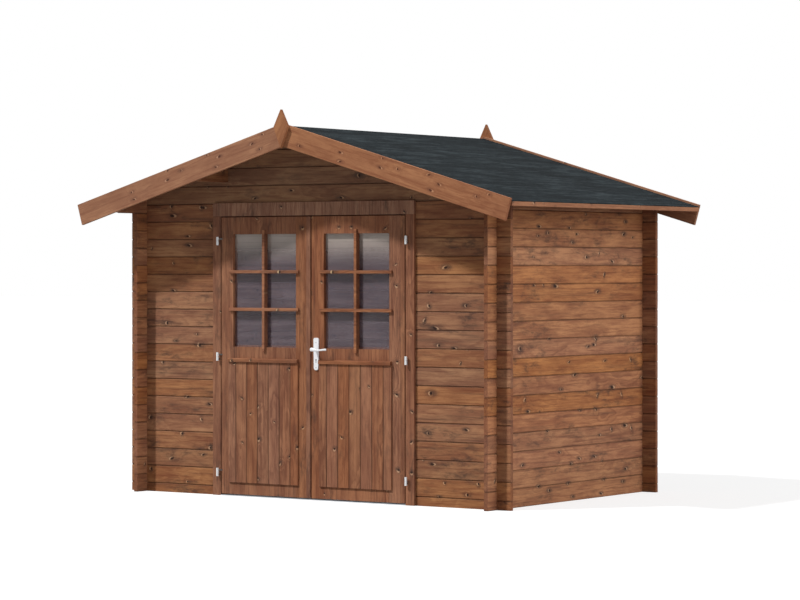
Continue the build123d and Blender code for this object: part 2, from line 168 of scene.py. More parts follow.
# Solid wood. The rows of seven numbers are noises: scale along and across, shift along and across,
# detail, roughness, distortion.
pine = {
    "tan": rgb(168, 119, 82),
    "brown": rgb(137, 90, 63),
    "red": rgb(106, 60, 42),
    "grey": rgb(66, 50, 43),
    "knot": rgb(36, 24, 19),
    "knotRing": rgb(92, 58, 42),
    "halo": rgb(196, 152, 116),
    # the colour of the dark lines at the board edges: dirt in the grooves, and painted shade
    "joint": rgb(46, 31, 24),
    "toneSpread": 0.15,
    "hueSpread": 0.004,
    "ringGap": 0.0052,
    "ringShare": 0.34,
    "ringBend": 3.4,
    "bendFade": 0.16,
    "pithDeep": (0.02, 0.075),
    "pithAside": 0.09,
    "knotCell": (0.24, 0.095),
    "knotShare": 0.62,
    "knotRadius": (0.0042, 0.0088),
    "knotSquash": 1.6,
    "knotLean": 1.4,
    "knotRough": (0.55, 0.9),
    "placedScale": 1.1,
    # how a placed knot is squeezed along the grain, how it leans, and where its pale side is
    "knotShapes": ((1.0, 0.0, -1.0), (0.62, 0.5, 0.9), (0.66, -0.55, -0.8), (1.15, 0.2, -0.9),
                   (0.5, 0.15, 1.0)),
    "cloudStretch": 0.42,
    "cloudDrop": 0.3,
    "jointHalf": 0.0032,
    "smudgeShare": 0.8,
    "endShade": 0.72,
    "streak": (3.4, 76.0, 0.0, 0.0, 5.0, 0.72, 0.2),
    "fibre": (14.0, 330.0, 0.0, 0.0, 3.0, 0.65, 0.0),
    "mottle": (44.0, 130.0, 0.0, 0.0, 4.0, 0.7, 0.0),
    "blotch": (2.8, 15.0, 7.0, 0.0, 5.0, 0.62, 0.4),
    "smudge": (9.0, 24.0, 0.0, 0.0, 6.0, 0.7, 0.3),
    "stripe": (1.3, 30.0, 0.0, 5.0, 6.0, 0.7, 0.4),
    "patch": (2.0, 6.0, 3.0, 0.0, 2.0, 0.5, 0.0),
}


def gridKnots(start, look, shifted, moved):
    # one knot or none in each cell of a loose grid; distances are in radii of the knot
    cellRun, cellWide = look["knotCell"]
    cells = start.node("ShaderNodeTexVoronoi", {"voronoi_dimensions": "2D"}, {
        "Vector": start.vector(shifted / cellRun, moved / cellWide), "Scale": 1.0}, "Position")
    middle = start.node("ShaderNodeSeparateXYZ", None, {0: cells})
    chance = start.node("ShaderNodeSeparateColor", None, {0: cells.out("Color")})
    sizeChance, showChance, leanChance = chance, chance.out("Green"), chance.out("Blue")
    small, large = look["knotRadius"]
    shown = showChance < look["knotShare"]
    radius = (small + sizeChance * (large - small)) * shown + 0.00001
    awayRun = shifted - middle * cellRun
    awayWide = moved - middle.out("Y") * cellWide + awayRun * (leanChance - 0.5) * look["knotLean"]
    away = (awayRun * awayRun * look["knotSquash"] + awayWide * awayWide) ** 0.5 / radius
    paleRun = awayRun + radius * 0.9
    paleWide = awayWide + radius * (leanChance * 2.0 - 1.0)
    pale = (paleRun * paleRun + paleWide * paleWide) ** 0.5 / radius
    bend = radius * look["ringBend"] / (1.0 + away * away * look["bendFade"])
    return away, pale, bend


def placedKnots(look, knots, along, across, run, width, away, pale, bend, cloud):
    # knots at given places, each in a dark cloud drawn out along the grain
    stretch = look["cloudStretch"]
    drawn = run.vector(run * stretch, width)
    shapes = look["knotShapes"]
    leaned = [run.vector(run * squeeze + width * lean, width) for squeeze, lean, _ in shapes]
    level = Vector((0, 1, 0)) if along.y else Vector((1, 0, 0))
    for count, (sideways, high, radius) in enumerate(knots):
        kind = count * 2 % len(shapes)
        squeeze, lean, paleSide = shapes[kind]
        spot = level * sideways + Vector((0, 0, high))
        knotRun, knotWide = spot.dot(along), spot.dot(across)
        leanedRun = knotRun * squeeze + knotWide * lean
        there = leaned[kind].distance((leanedRun, knotWide, 0)) / (radius * look["placedScale"])
        beside = drawn.distance((knotRun * stretch, knotWide + radius * look["cloudDrop"], 0)) / radius
        paleThere = leaned[kind].distance((leanedRun + radius * paleSide, knotWide, 0)) / radius
        bendThere = radius * look["ringBend"] / (1.0 + there * there * look["bendFade"])
        cloud = cloud.maths("MINIMUM", cloud, beside)
        away = away.maths("MINIMUM", away, there)
        pale = pale.maths("MINIMUM", pale, paleThere)
        bend = bend.maths("MAXIMUM", bend, bendThere)
    return away, pale, bend, cloud


def pineMaterial(name, along, across, seed, look=None, boardWidth=None, boardStart=0.0, centre=0.0,
                 member=None, knots=()):
    # rings round a pith behind each board, knots, streaks, and stain that took unevenly
    # along, across: unit vectors of the grain and of the board's width.
    # member: works out an index and a place across the board, where one mesh holds several boards.
    # knots: more of them at given places in the plane of the face, (x or y, z, radius).
    look = {**pine, **(look or {})}
    material, start = newMaterial(name)
    place = start.node("ShaderNodeTexCoord", output="Object")
    along, across = Vector(along), Vector(across)
    run = place.dot(along)
    width = place.dot(across)
    deep = place.dot(along.cross(across))
    if member:
        index, local = member(place, width)
    elif boardWidth:
        count = (width - boardStart) / boardWidth
        index = count.floor()
        local = (count - index - 0.5) * boardWidth
    else:
        index, local = None, width - centre
    chance = start.node("ShaderNodeTexWhiteNoise", {"noise_dimensions": "1D"},
                        {"W": seed if index is None else index + seed}, "Color")
    split = start.node("ShaderNodeSeparateColor", None, {0: chance})
    chanceA, chanceB, chanceC = split, split.out("Green"), split.out("Blue")
    shifted = run + chanceA * 37.0
    moved = width + chanceB * 9.0
    ragged = start.noise(start.vector(shifted, moved, deep), 130.0, 3.0, 0.6)

    def grain(key):
        alongScale, acrossScale, alongShift, acrossShift, detail, roughness, distortion = look[key]
        where = start.vector(shifted * alongScale + alongShift, moved * acrossScale + acrossShift,
                             deep * acrossScale)
        return start.noise(where, 1.0, detail, roughness, distortion)

    # knots: a ragged dark heart, a pale side, a cloud round them
    smoothest, raggedShare = look["knotRough"]
    rough = smoothest + raggedShare * ragged
    away, pale, bend = gridKnots(start, look, shifted, moved)
    away, pale, bend, cloud = placedKnots(look, knots, along, across, run, width, away, pale, bend,
                                          away * rough * 0.8)
    away = away * rough
    core = 1.0 - away.smooth(0.75, 1.2)
    halo = (1.0 - pale.smooth(0.8, 1.7)) * (1.0 - core)
    near = 1.0 - (cloud * (0.5 + ragged)).smooth(0.8, 3.6)

    # rings, bent by slow noise and by the knots
    low, high = look["pithDeep"]
    sway = start.noise(start.vector(shifted * 1.1, moved * 4.0, deep * 5.0), 1.0, 4.0, 0.55)
    acrossPith = local + (chanceB - 0.5) * look["pithAside"]
    deepPith = deep + (low + chanceC * (high - low)) + (sway - 0.5) * 0.07
    ringRadius = (acrossPith * acrossPith + deepPith * deepPith) ** 0.5 + bend
    ringCount = ringRadius / look["ringGap"]
    ring = ringCount - ringCount.floor()
    ringLine = ring.smooth(0.2, 0.9) * (1.0 - ring.smooth(0.92, 1.0))
    band = start.noise(start.vector(shifted * 1.5, ringRadius * 95.0, chanceA * 8.0), 1.0, 4.0, 0.65)
    bold = start.noise(start.vector(shifted * 0.9, ringRadius * 40.0, chanceB * 8.0), 1.0, 2.0,
                       0.5).smooth(0.42, 0.66)

    # colour, from the ground tone up to the knots
    streak, fibre, mottle, smudge = grain("streak"), grain("fibre"), grain("mottle"), grain("smudge")
    colour = start.mix(grain("blotch").smooth(0.34, 0.66), look["brown"], look["tan"])
    colour = start.mix(streak.smooth(0.46, 0.66) * 0.62, colour, look["red"])
    colour = start.mix(band.smooth(0.45, 0.7) * 0.3 + ringLine * bold * look["ringShare"], colour,
                       look["red"])
    smudged = smudge.smooth(0.44, 0.7) * grain("patch").smooth(0.46, 0.62)
    colour = start.mix(smudged * look["smudgeShare"], colour, look["grey"])
    colour = start.mix(grain("stripe").smooth(0.52, 0.7) * look["smudgeShare"] * 0.6, colour, look["grey"])
    colour = start.mix(near * (0.25 + smudge.smooth(0.36, 0.6) * 0.6), colour, look["grey"])
    colour = start.mix(halo * 0.75, colour, look["halo"])
    knotRings = (away * 9.0).maths("SINE", away * 9.0) * 0.5 + 0.5
    colour = start.mix(core, colour, start.mix(knotRings * 0.3, look["knot"], look["knotRing"]))
    facing = start.node("ShaderNodeNewGeometry", output="True Normal")
    endFace = facing.dot(along).size().smooth(0.6, 0.8)
    colour = start.mix(endFace * (0.55 + ringLine * 0.45) * look["endShade"], colour, look["red"])
    colour = start.node("ShaderNodeHueSaturation", None, {
        "Hue": 0.5 + (chanceB - 0.5) * look["hueSpread"],
        "Saturation": 0.93 + chanceC * 0.12,
        "Value": 0.78 + (chanceA - 0.5) * look["toneSpread"] + fibre * 0.2 + mottle * 0.26,
        "Color": colour})
    # a dark line along the edges of each board: dirt in the V-groove, and painted shade there too
    if boardWidth:
        half = boardWidth / 2
        edge = look["jointHalf"] / half
        seamDirtAndShadeMask = (local.size() / half).smooth(1.0 - 2.2 * edge, 1.0 - 0.7 * edge)
        colour = start.mix(seamDirtAndShadeMask * (0.05 + 0.8 * streak), colour, look["joint"])
    height = fibre * 0.35 + streak * 0.3 + ringLine * 0.3 - core * 0.6 + ragged * 0.2
    surface(start, {
        "Base Color": colour,
        "Roughness": 0.66 + fibre * 0.14 + core * 0.05,
        "Specular IOR Level": 0.16,
    }, height, 0.6, 0.0009)
    return material


def assign(names, material):
    for name in names:
        cadNode = nodes[name]
        for slot in cadNode.material_slots:
            slot.material = material


def soften(names, width, segments=2):
    # rounds the sharp arrises of a CAD node without touching its mesh
    for name in names:
        cadNode = nodes[name]
        weld = cadNode.modifiers.new("weld", "WELD")
        weld.merge_threshold = 0.00002
        flat = cadNode.modifiers.new("flat", "DECIMATE")
        flat.decimate_type = "DISSOLVE"
        flat.angle_limit = math.radians(0.5)
        bevel = cadNode.modifiers.new("bevel", "BEVEL")
        bevel.width = width
        bevel.segments = segments
        bevel.limit_method = "ANGLE"
        bevel.angle_limit = math.radians(25)
        bevel.use_clamp_overlap = True


xAxis, yAxis, zAxis = (1, 0, 0), (0, 1, 0), (0, 0, 1)
roof = {"pitch": math.radians(16.2), "boardWidth": 0.096, "middle": 2.2, "eavesMiddle": 1.85,
        "finialMiddle": 1.0, "knotRadius": 0.0056, "kiteWide": 55, "kiteTall": 110}
doors = {"boardWidth": 0.087, "boards": 5, "railMiddle": 0.87, "barMiddle": 1.3, "headMiddle": 1.8}
wallSoft, timberSoft = 0.0012, 0.0015

# walls
walls = {"logHeight": 0.114}
# knots as in the photo: along the wall, height, radius
frontKnots = (
    (-1.18, 1.106, 0.008), (-1.14, 0.221, 0.008), (-1.14, 1.807, 0.008), (-1.13, 1.319, 0.005),
    (-1.11, 0.99, 0.005), (-1.01, 0.074, 0.006), (-1.01, 0.628, 0.006), (-1.01, 1.673, 0.005),
    (-1, 1.613, 0.007), (-0.93, 1.036, 0.005), (-0.91, 0.966, 0.01), (-0.88, 0.255, 0.006),
    (-0.88, 1.857, 0.006), (-0.83, 0.584, 0.006), (0.88, 0.45, 0.006), (0.9, 0.696, 0.009),
    (0.9, 1.316, 0.005), (0.91, 0.261, 0.006), (0.93, 1.096, 0.008), (0.96, 0.062, 0.005),
    (0.96, 0.991, 0.007), (1.01, 1.47, 0.008), (1.07, 0.975, 0.005), (1.16, 0.479, 0.006),
    (1.16, 1.236, 0.007), (1.17, 0.083, 0.007), (-0.46, 1.912, 0.0057), (-0.17, 1.959, 0.0053),
    (0.22, 1.909, 0.0056), (0.36, 2.045, 0.0091))
sideKnots = (
    (-0.58, 0.973, 0.009), (-0.55, 0.256, 0.006), (-0.49, 0.583, 0.006), (-0.42, 1.36, 0.005),
    (-0.42, 1.533, 0.005), (-0.37, 1.666, 0.005), (-0.36, 0.116, 0.007), (-0.36, 1.724, 0.006),
    (-0.26, 0.453, 0.005), (-0.25, 1.684, 0.007), (-0.24, 0.082, 0.007), (-0.24, 1.027, 0.005),
    (-0.17, 1.353, 0.008), (-0.12, 0.312, 0.005), (-0.1, 0.707, 0.006), (-0.01, 0.111, 0.006),
    (0, 0.874, 0.006), (0, 1.719, 0.005), (0.02, 0.233, 0.006), (0.04, 0.025, 0.006),
    (0.04, 1.627, 0.006), (0.07, 0.793, 0.008), (0.09, 1.681, 0.005), (0.12, 0.261, 0.006),
    (0.13, 0.566, 0.005),
    (0.21, 1.535, 0.008), (0.23, 0.966, 0.006), (0.3, 0.977, 0.006), (0.31, 0.262, 0.006),
    (0.32, 1.021, 0.008), (0.33, 0.564, 0.007), (0.35, 1.314, 0.008), (0.37, 0.398, 0.005),
    (0.39, 0.022, 0.006), (0.41, 0.234, 0.005), (0.43, 0.111, 0.006), (0.44, 0.871, 0.006),
    (0.53, 0.699, 0.008), (0.53, 1.508, 0.007), (0.67, 0.083, 0.006), (0.67, 1.152, 0.007),
    (0.68, 1.685, 0.007), (0.69, 0.446, 0.008), (0.7, 0.165, 0.006), (0.7, 1.765, 0.006),
    (0.79, 1.665, 0.005), (0.92, 0.751, 0.007))
wallLook = {"knotShare": 0.12, "toneSpread": 0.11}
frontLogs = pineMaterial("front_log_pine", xAxis, zAxis, 3.0, wallLook, boardWidth=walls["logHeight"],
                         boardStart=walls["logHeight"] / 2, knots=frontKnots)
# side walls and wall plates: the wall pine painted lighter, as painted light
sideLitLook = {**wallLook, "tan": rgb(181, 124, 82), "brown": rgb(149, 96, 64), "smudgeShare": 0.72}
sideLitLogs = pineMaterial("side_log_pine_lit", yAxis, zAxis, 41.0, sideLitLook, boardWidth=walls["logHeight"],
                        knots=sideKnots)
# gables: the same logs as the front walls, painted greyer as painted shade
gableShadeLook = {**wallLook, "tan": rgb(160, 121, 90), "brown": rgb(134, 97, 73), "red": rgb(106, 70, 54),
             "grey": rgb(78, 63, 55), "smudgeShare": 0.5, "ringShare": 0.45}
gableShadeLogs = pineMaterial("gable_log_pine_shade", xAxis, zAxis, 3.0, gableShadeLook, boardWidth=walls["logHeight"],
                         boardStart=walls["logHeight"] / 2, knots=frontKnots)
assign(("front_wall_left", "front_wall_right", "rear_wall"), frontLogs)
assign(("front_gable", "rear_gable"), gableShadeLogs)
assign(("left_wall", "right_wall", "left_wall_plate", "right_wall_plate"), sideLitLogs)
print("walls done")

# roof timbers
roofLook = {"toneSpread": 0.08, "tan": rgb(167, 118, 85), "brown": rgb(146, 99, 71),
            "red": rgb(126, 79, 56), "smudgeShare": 0.25, "knotShare": 0.8}
bargeLook = {**roofLook, "knotShare": 0.12, "red": rgb(121, 73, 51), "grey": rgb(112, 72, 54),
             "knot": rgb(74, 43, 31), "knotRing": rgb(120, 76, 56), "halo": rgb(190, 142, 108)}
bargeKnots = {
    "left": ((-1.22, 1.955), (-1.20, 1.909), (-0.92, 2.030), (-0.92, 2.091), (-0.81, 2.087),
             (-0.60, 2.182), (-0.53, 2.106), (-0.50, 2.172), (-0.24, 2.246), (-0.18, 2.211),
             (-0.16, 2.303)),
    "right": ((0.13, 2.224), (0.44, 2.121), (0.44, 2.177), (0.74, 2.078), (0.76, 2.134), (0.87, 2.067),
             (1.10, 2.028), (1.11, 1.934), (1.17, 1.969), (1.44, 1.893), (1.53, 1.902)),
}
for side, sign in (("left", -1), ("right", 1)):
    slopeAlong = (math.cos(roof["pitch"]) * sign, 0, -math.sin(roof["pitch"]))
    slopeAcross = (math.sin(roof["pitch"]) * sign, 0, math.cos(roof["pitch"]))
    for end, seed in (("front", 7.0), ("rear", 8.0)):
        barge = pineMaterial(f"{end}_{side}_barge_pine", slopeAlong, slopeAcross, seed + sign, bargeLook,
                             centre=roof["middle"],
                             knots=[(*spot, roof["knotRadius"]) for spot in bargeKnots[side]])
        assign((f"{end}_bargeboard_{side}",), barge)
    boards = pineMaterial(f"{side}_roof_board_pine", slopeAlong, yAxis, 13.0 + sign, roofLook,
                          boardWidth=roof["boardWidth"])
    assign((f"{side}_roof_boards",), boards)
    assign((f"{side}_eaves_board",), pineMaterial(f"{side}_eaves_pine", yAxis, zAxis, 17.0 + sign, roofLook,
                                                  centre=roof["eavesMiddle"]))
for name, seed in (("left_purlin", 21.0), ("ridge_purlin", 22.0), ("right_purlin", 23.0)):
    assign((name,), pineMaterial(name + "_pine", yAxis, zAxis, seed, centre=roof["middle"]))
kiteAlong = Vector((roof["kiteWide"], 0, roof["kiteTall"])).normalized()
finialPine = pineMaterial("finial_pine", kiteAlong, (-kiteAlong.z, 0, kiteAlong.x), 25.0, roofLook,
                          centre=roof["finialMiddle"])
assign(("front_finial", "rear_finial"), finialPine)
print("roof timbers done")

# doors
doorLook = {"toneSpread": 0.06, "tan": rgb(163, 111, 79), "brown": rgb(134, 86, 61),
            "red": rgb(100, 57, 41), "smudgeShare": 0.6, "ringShare": 0.5, "knotShare": 0.3}
barLook = {**doorLook, "tan": rgb(174, 114, 76), "brown": rgb(150, 93, 63), "halo": rgb(238, 200, 152),
           "knotShare": 0.2}
panelLook = {**doorLook, "toneSpread": 0.03, "smudgeShare": 0.38}
barKnots = {"left": ((-0.238, 1.441, 0.0078),), "right": ((0.179, 1.441, 0.0078),)}
for name, seed in (("left_jamb", 31.0), ("right_jamb", 32.0), ("left_door_trim", 33.0),
                   ("right_door_trim", 34.0)):
    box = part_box(name)
    assign((name,), pineMaterial(name + "_pine", zAxis, xAxis, seed, doorLook,
                                 centre=(box[0].x + box[1].x) / 2))
# door header trim: the door pine painted lighter and greyer, as painted light in its shade
headerLitLook = {**doorLook, "tan": rgb(170, 124, 94), "brown": rgb(143, 101, 77), "grey": rgb(72, 54, 46),
              "smudgeShare": 0.8}
assign(("door_header_trim",), pineMaterial("header_pine_lit", zAxis, xAxis, 35.0, headerLitLook))
assign(("door_frame_head",), pineMaterial("head_pine", xAxis, zAxis, 36.0, doorLook,
                                            centre=doors["headMiddle"]))
for side, seed in (("left", 50.0), ("right", 60.0)):
    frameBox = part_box(f"{side}_leaf_frame")
    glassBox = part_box(f"{side}_leaf_glass")
    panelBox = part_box(f"{side}_leaf_panel")
    panelWidth = doors["boards"] * doors["boardWidth"]

    def leafMember(place, width, glassBox=glassBox):
        # 0, 1 and 2: left stile, rails, right stile
        index = (width > glassBox[0].x) + (width > glassBox[1].x)
        return index, width - (glassBox[0].x + glassBox[1].x) / 2
    timbers = (  # node, material, grain, width, step of the seed, look, layout
        ("frame", "frame", zAxis, xAxis, 0, doorLook, {"member": leafMember}),
        ("strip", "strip", zAxis, xAxis, 4, doorLook, {"centre": frameBox[1].x}),
        ("panel", "panel", zAxis, xAxis, 5, panelLook, {
            "boardWidth": doors["boardWidth"],
            "boardStart": (panelBox[0].x + panelBox[1].x) / 2 - panelWidth / 2}),
        ("drip_rail", "rail", xAxis, zAxis, 6, doorLook, {"centre": doors["railMiddle"]}),
        ("glazing_bars", "bar", xAxis, zAxis, 7, barLook, {
            "centre": doors["barMiddle"], "knots": barKnots[side]}),
    )
    for node, kind, along, across, step, look, layout in timbers:
        timber = pineMaterial(f"{side}_{kind}_pine", along, across, seed + step, look, **layout)
        assign((f"{side}_leaf_{node}",), timber)
print("doors done")

# felt
felt = {
    "stops": ((0.36, rgb(10, 15, 18)), (0.5, rgb(22, 28, 31)), (0.66, rgb(47, 54, 57))),
    "wave": (11.0, 1.3, 5.0, 0.64, 1.5),  # scale along x and y, detail, roughness, distortion
    "fine": (46.0, 11.0, 4.0, 0.65, 0.8),
    "grit": 620.0,
    "ridgeHalf": (0.003, 0.008),
}


def feltNoise(start, xPart, yPart, key):
    xScale, yScale, detail, roughness, distortion = felt[key]
    return start.noise(start.vector(xPart * xScale, yPart * yScale), 1.0, detail, roughness, distortion)


material, start = newMaterial("roof_felt_grey")
place = start.node("ShaderNodeTexCoord", output="Object")
xPart, yPart = place.dot(xAxis), place.dot(yAxis)
wave = feltNoise(start, xPart, yPart, "wave")
fine = feltNoise(start, xPart, yPart, "fine")
grit = start.noise(start.vector(xPart, yPart), felt["grit"], 1.0)
ridgeLine = 1.0 - xPart.size().smooth(*felt["ridgeHalf"])
level = 0.5 + (wave - 0.5) * 0.8 + (fine - 0.5) * 0.4 + (grit - 0.5) * 0.1 - ridgeLine * 0.3
feltColour = start.node("ShaderNodeValToRGB", {"stops": felt["stops"]}, {0: level})
surface(start, {"Base Color": feltColour, "Roughness": 0.92 + grit * 0.08, "Specular IOR Level": 0.08},
        wave * 1.2 + fine * 0.7 + grit * 0.25, 0.8, 0.003)
assign(("left_roof_felt", "right_roof_felt"), material)
print("felt done")

# metal
enamel = {"paint": rgb(238, 240, 242), "dust": rgb(208, 210, 210), "shankShadeDark": rgb(58, 50, 46),
          "shankShadeLight": rgb(86, 76, 70), "hole": rgb(20, 20, 22)}


def enamelMaterial(name, shank=None, keyhole=None):
    # white paint; the shank of a hinge beyond the barrel is bare steel painted darker as shade, and the
    # inside of a keyhole is painted dark as shade
    material, start = newMaterial(name)
    place = start.node("ShaderNodeTexCoord", output="Object")
    orange = start.noise(place, 420.0, 2.0)
    dust = start.noise(place, 35.0, 4.0)
    colour = start.mix(dust.smooth(0.45, 0.8) * 0.3, enamel["paint"], enamel["dust"])
    rough = 0.2 + dust * 0.18
    # painted shade: beyond the barrel the shank is darker than bare steel
    if shank:
        plan = start.vector(place.dot(xAxis).size(), place.dot(yAxis))
        apart = plan.distance((shank["x"], shank["y"], 0))
        shankShade = apart.smooth(shank["from"], shank["from"] + 0.0004)
        colour = start.mix(shankShade, colour, start.mix(dust, enamel["shankShadeDark"], enamel["shankShadeLight"]))
        rough = rough + shankShade * 0.2
    # painted shade inside the keyhole: its recess is coloured near black
    if keyhole:
        aside = (place.dot(xAxis) - keyhole["x"]).size()
        beside = (place.dot(zAxis) - keyhole["z"]).size()
        sunk = (place.dot(yAxis) - keyhole["y"]).size() < keyhole["deep"]
        colour = start.mix((aside < keyhole["half"]) * (beside < keyhole["tall"]) * sunk,
                           colour, enamel["hole"])
    surface(start, {"Base Color": colour, "Roughness": rough, "Coat Weight": 0.4, "Coat Roughness": 0.08},
            orange, 0.15, 0.0004)
    return material


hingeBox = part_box("right_hinge_frame_halves")
barrelRadius = (hingeBox[1].x - hingeBox[0].x) / 2
hinges = {"x": (hingeBox[0].x + hingeBox[1].x) / 2, "y": hingeBox[0].y + barrelRadius,
          "from": barrelRadius + 0.0002}
assign([f"{side}_hinge_{half}_halves" for side in ("left", "right") for half in ("frame", "leaf")],
       enamelMaterial("hinge_enamel", hinges))
whiteEnamel = enamelMaterial("white_enamel")
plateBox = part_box("outer_handle_plate")
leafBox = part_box("right_leaf_frame")
# the keyhole recess, painted dark inside as shade
keyhole = {
    "x": (plateBox[0].x + plateBox[1].x) / 2,
    "y": (leafBox[0].y + leafBox[1].y) / 2,
    "z": 0.8791,
    "half": 0.0052,
    "tall": 0.0127,
    "deep": (leafBox[1].y - leafBox[0].y) / 2 + 0.0072,
}
assign(("outer_handle_plate", "inner_handle_plate"), enamelMaterial("plate_enamel", keyhole=keyhole))


def metalMaterial(name, dark, light, grain, scuffs=0.0):
    # bare metal with fine lines that run along one axis
    material, start = newMaterial(name)
    place = start.node("ShaderNodeTexCoord", output="Object")
    scaled = [place.dot(axis) * scale for axis, scale in zip((xAxis, yAxis, zAxis), grain)]
    lines = start.noise(start.vector(*scaled))
    scuff = start.noise(place, 24.0, 5.0)
    surface(start, {
        "Base Color": start.mix(lines * (1.0 - scuffs) + scuff * scuffs, light, dark),
        "Metallic": 1.0,
        "Roughness": 0.28 + lines * 0.2 + scuff * 0.12}, lines, 0.2, 0.0002)
    return material


metals = {
    "plain_steel": (rgb(150, 150, 152), rgb(196, 197, 200), (900.0, 40.0, 900.0)),
    "mill_aluminium": (rgb(150, 153, 158), rgb(200, 203, 208), (6.0, 700.0, 700.0), 0.7),
    # painted shade for the screw slots
    "slot_shade_paint": (rgb(30, 30, 32), rgb(52, 52, 55), (60.0, 60.0, 60.0)),
}
assign(("handle_spindle",), metalMaterial("plain_steel", *metals["plain_steel"]))
assign(("door_threshold",), metalMaterial("mill_aluminium", *metals["mill_aluminium"]))
slotShadePaint = metalMaterial("slot_shade_paint", *metals["slot_shade_paint"])
print("metal done")


def makePiece(name, points, faces, material, body):
    mesh = bpy.data.meshes.new(name)
    mesh.from_pydata(points, [], faces)
    mesh.update()
    mesh.polygons.foreach_set("use_smooth", [True] * len(faces))
    mesh.materials.append(material)
    piece = bpy.data.objects.new(name, mesh)
    bpy.context.scene.collection.objects.link(piece)
    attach(piece, body)
    return piece


def skin(rings):
    # a closed skin over rings of points, with a fan at each end
    count = len(rings[0])
    points = [tuple(point) for ring in rings for point in ring]
    faces = []
    for row in range(len(rings) - 1):
        for step in range(count):
            after = (step + 1) % count
            faces.append((row * count + step, row * count + after, (row + 1) * count + after,
                          (row + 1) * count + step))
    for row, flip in ((0, True), (len(rings) - 1, False)):
        middle = sum((Vector(point) for point in rings[row]), Vector()) / count
        points.append(tuple(middle))
        for step in range(count):
            corner = (row * count + step, row * count + (step + 1) % count, len(points) - 1)
            faces.append(corner[::-1] if flip else corner)
    return points, faces


def joined(*parts):
    points, faces = [], []
    for partPoints, partFaces in parts:
        shift = len(points)
        points += partPoints
        faces += [tuple(index + shift for index in face) for face in partFaces]
    return points, faces


def eased(rows, steps):
    # more rows between the given ones, on a smooth curve through them
    fine = []
    for index in range(len(rows) - 1):
        before, first, second, after = (rows[max(index + step, 0)] if index + step < len(rows) else rows[-1]
                                        for step in (-1, 0, 1, 2))
        for step in range(steps):
            t = step / steps
            fine.append([0.5 * (2 * b + (c - a) * t + (2 * a - 5 * b + 4 * c - d) * t * t
                                + (3 * b - a - 3 * c + d) * t ** 3)
                         for a, b, c, d in zip(before, first, second, after)])
    return fine + [list(rows[-1])]


# levers: a round neck and a grip that swells over the spindle and flares at its tip
lever = {
    "grip": (  # along from the spindle, half height, half thickness, rise
        (-0.0124, 0.0020, 0.0012, 0.0004), (-0.0121, 0.0052, 0.0026, 0.0004),
        (-0.0106, 0.0084, 0.0044, 0.0003), (-0.0070, 0.0112, 0.0053, 0.0),
        (0.0, 0.0123, 0.0055, 0.0), (0.0080, 0.0117, 0.0055, -0.0005),
        (0.0180, 0.0096, 0.0053, -0.0020), (0.0330, 0.0074, 0.0050, -0.0040),
        (0.0520, 0.0064, 0.0047, -0.0042), (0.0720, 0.0060, 0.0044, -0.0022),
        (0.0900, 0.0062, 0.0043, -0.0004), (0.1040, 0.0070, 0.0043, 0.0005),
        (0.1100, 0.0071, 0.0038, 0.0004), (0.1118, 0.0056, 0.0024, 0.0004),
        (0.1120, 0.0024, 0.0010, 0.0004)),
    "neck": (  # away from the plate, radius
        (0.0, 0.0088), (0.0002, 0.0090), (0.0030, 0.0090), (0.0044, 0.0080),
        (0.0120, 0.0074), (0.0280, 0.0076), (0.0400, 0.0086), (0.0440, 0.0088)),
    "behind": 0.0125,  # from the end of the grip to the spindle
    "squareness": 2.5, "sides": 28, "steps": 4,
}


def leverPiece(face):
    low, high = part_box(f"{face}_lever")
    outward = -1 if face == "outer" else 1
    thick = max(row[2] for row in lever["grip"])
    middleY = low.y + thick if outward < 0 else high.y - thick
    middle = Vector((low.x + lever["behind"], middleY, (low.z + high.z) / 2))
    foot = high.y if outward < 0 else low.y
    turns = [2 * math.pi * step / lever["sides"] for step in range(lever["sides"])]
    power = 2 / lever["squareness"]

    def bulge(value):
        return math.copysign(abs(value) ** power, value)
    grip = [[middle + Vector((x, half * bulge(math.sin(turn)), rise + tall * bulge(math.cos(turn))))
             for turn in turns]
            for x, tall, half, rise in eased(lever["grip"], lever["steps"])]
    neck = [[(middle.x + radius * math.cos(turn * outward), foot + outward * away,
              middle.z + radius * math.sin(turn * outward)) for turn in turns]
            for away, radius in eased(lever["neck"], lever["steps"])]
    points, faces = joined(skin(grip), skin(neck))
    return makePiece(f"{face}_lever_grip", points, faces, whiteEnamel, "handle")


for face in ("outer", "inner"):
    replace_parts(leverPiece(face), f"{face}_lever")

# screws of the handle plates; their slots are thin near-black pieces laid on the heads, as painted shade
screws = {
    "radius": 0.0046, "proud": 0.0007, "fromTop": 0.029, "fromFoot": 0.017, "sides": 20,
    "profile": ((-0.001, 1.0), (0.3, 1.0), (0.75, 0.85), (1.0, 0.5)),  # rise, share of the radius
    "slotHalf": 0.0036, "slotWide": 0.0006, "slotTurn": 0.4, "slotRise": (0.9, 1.08),
}


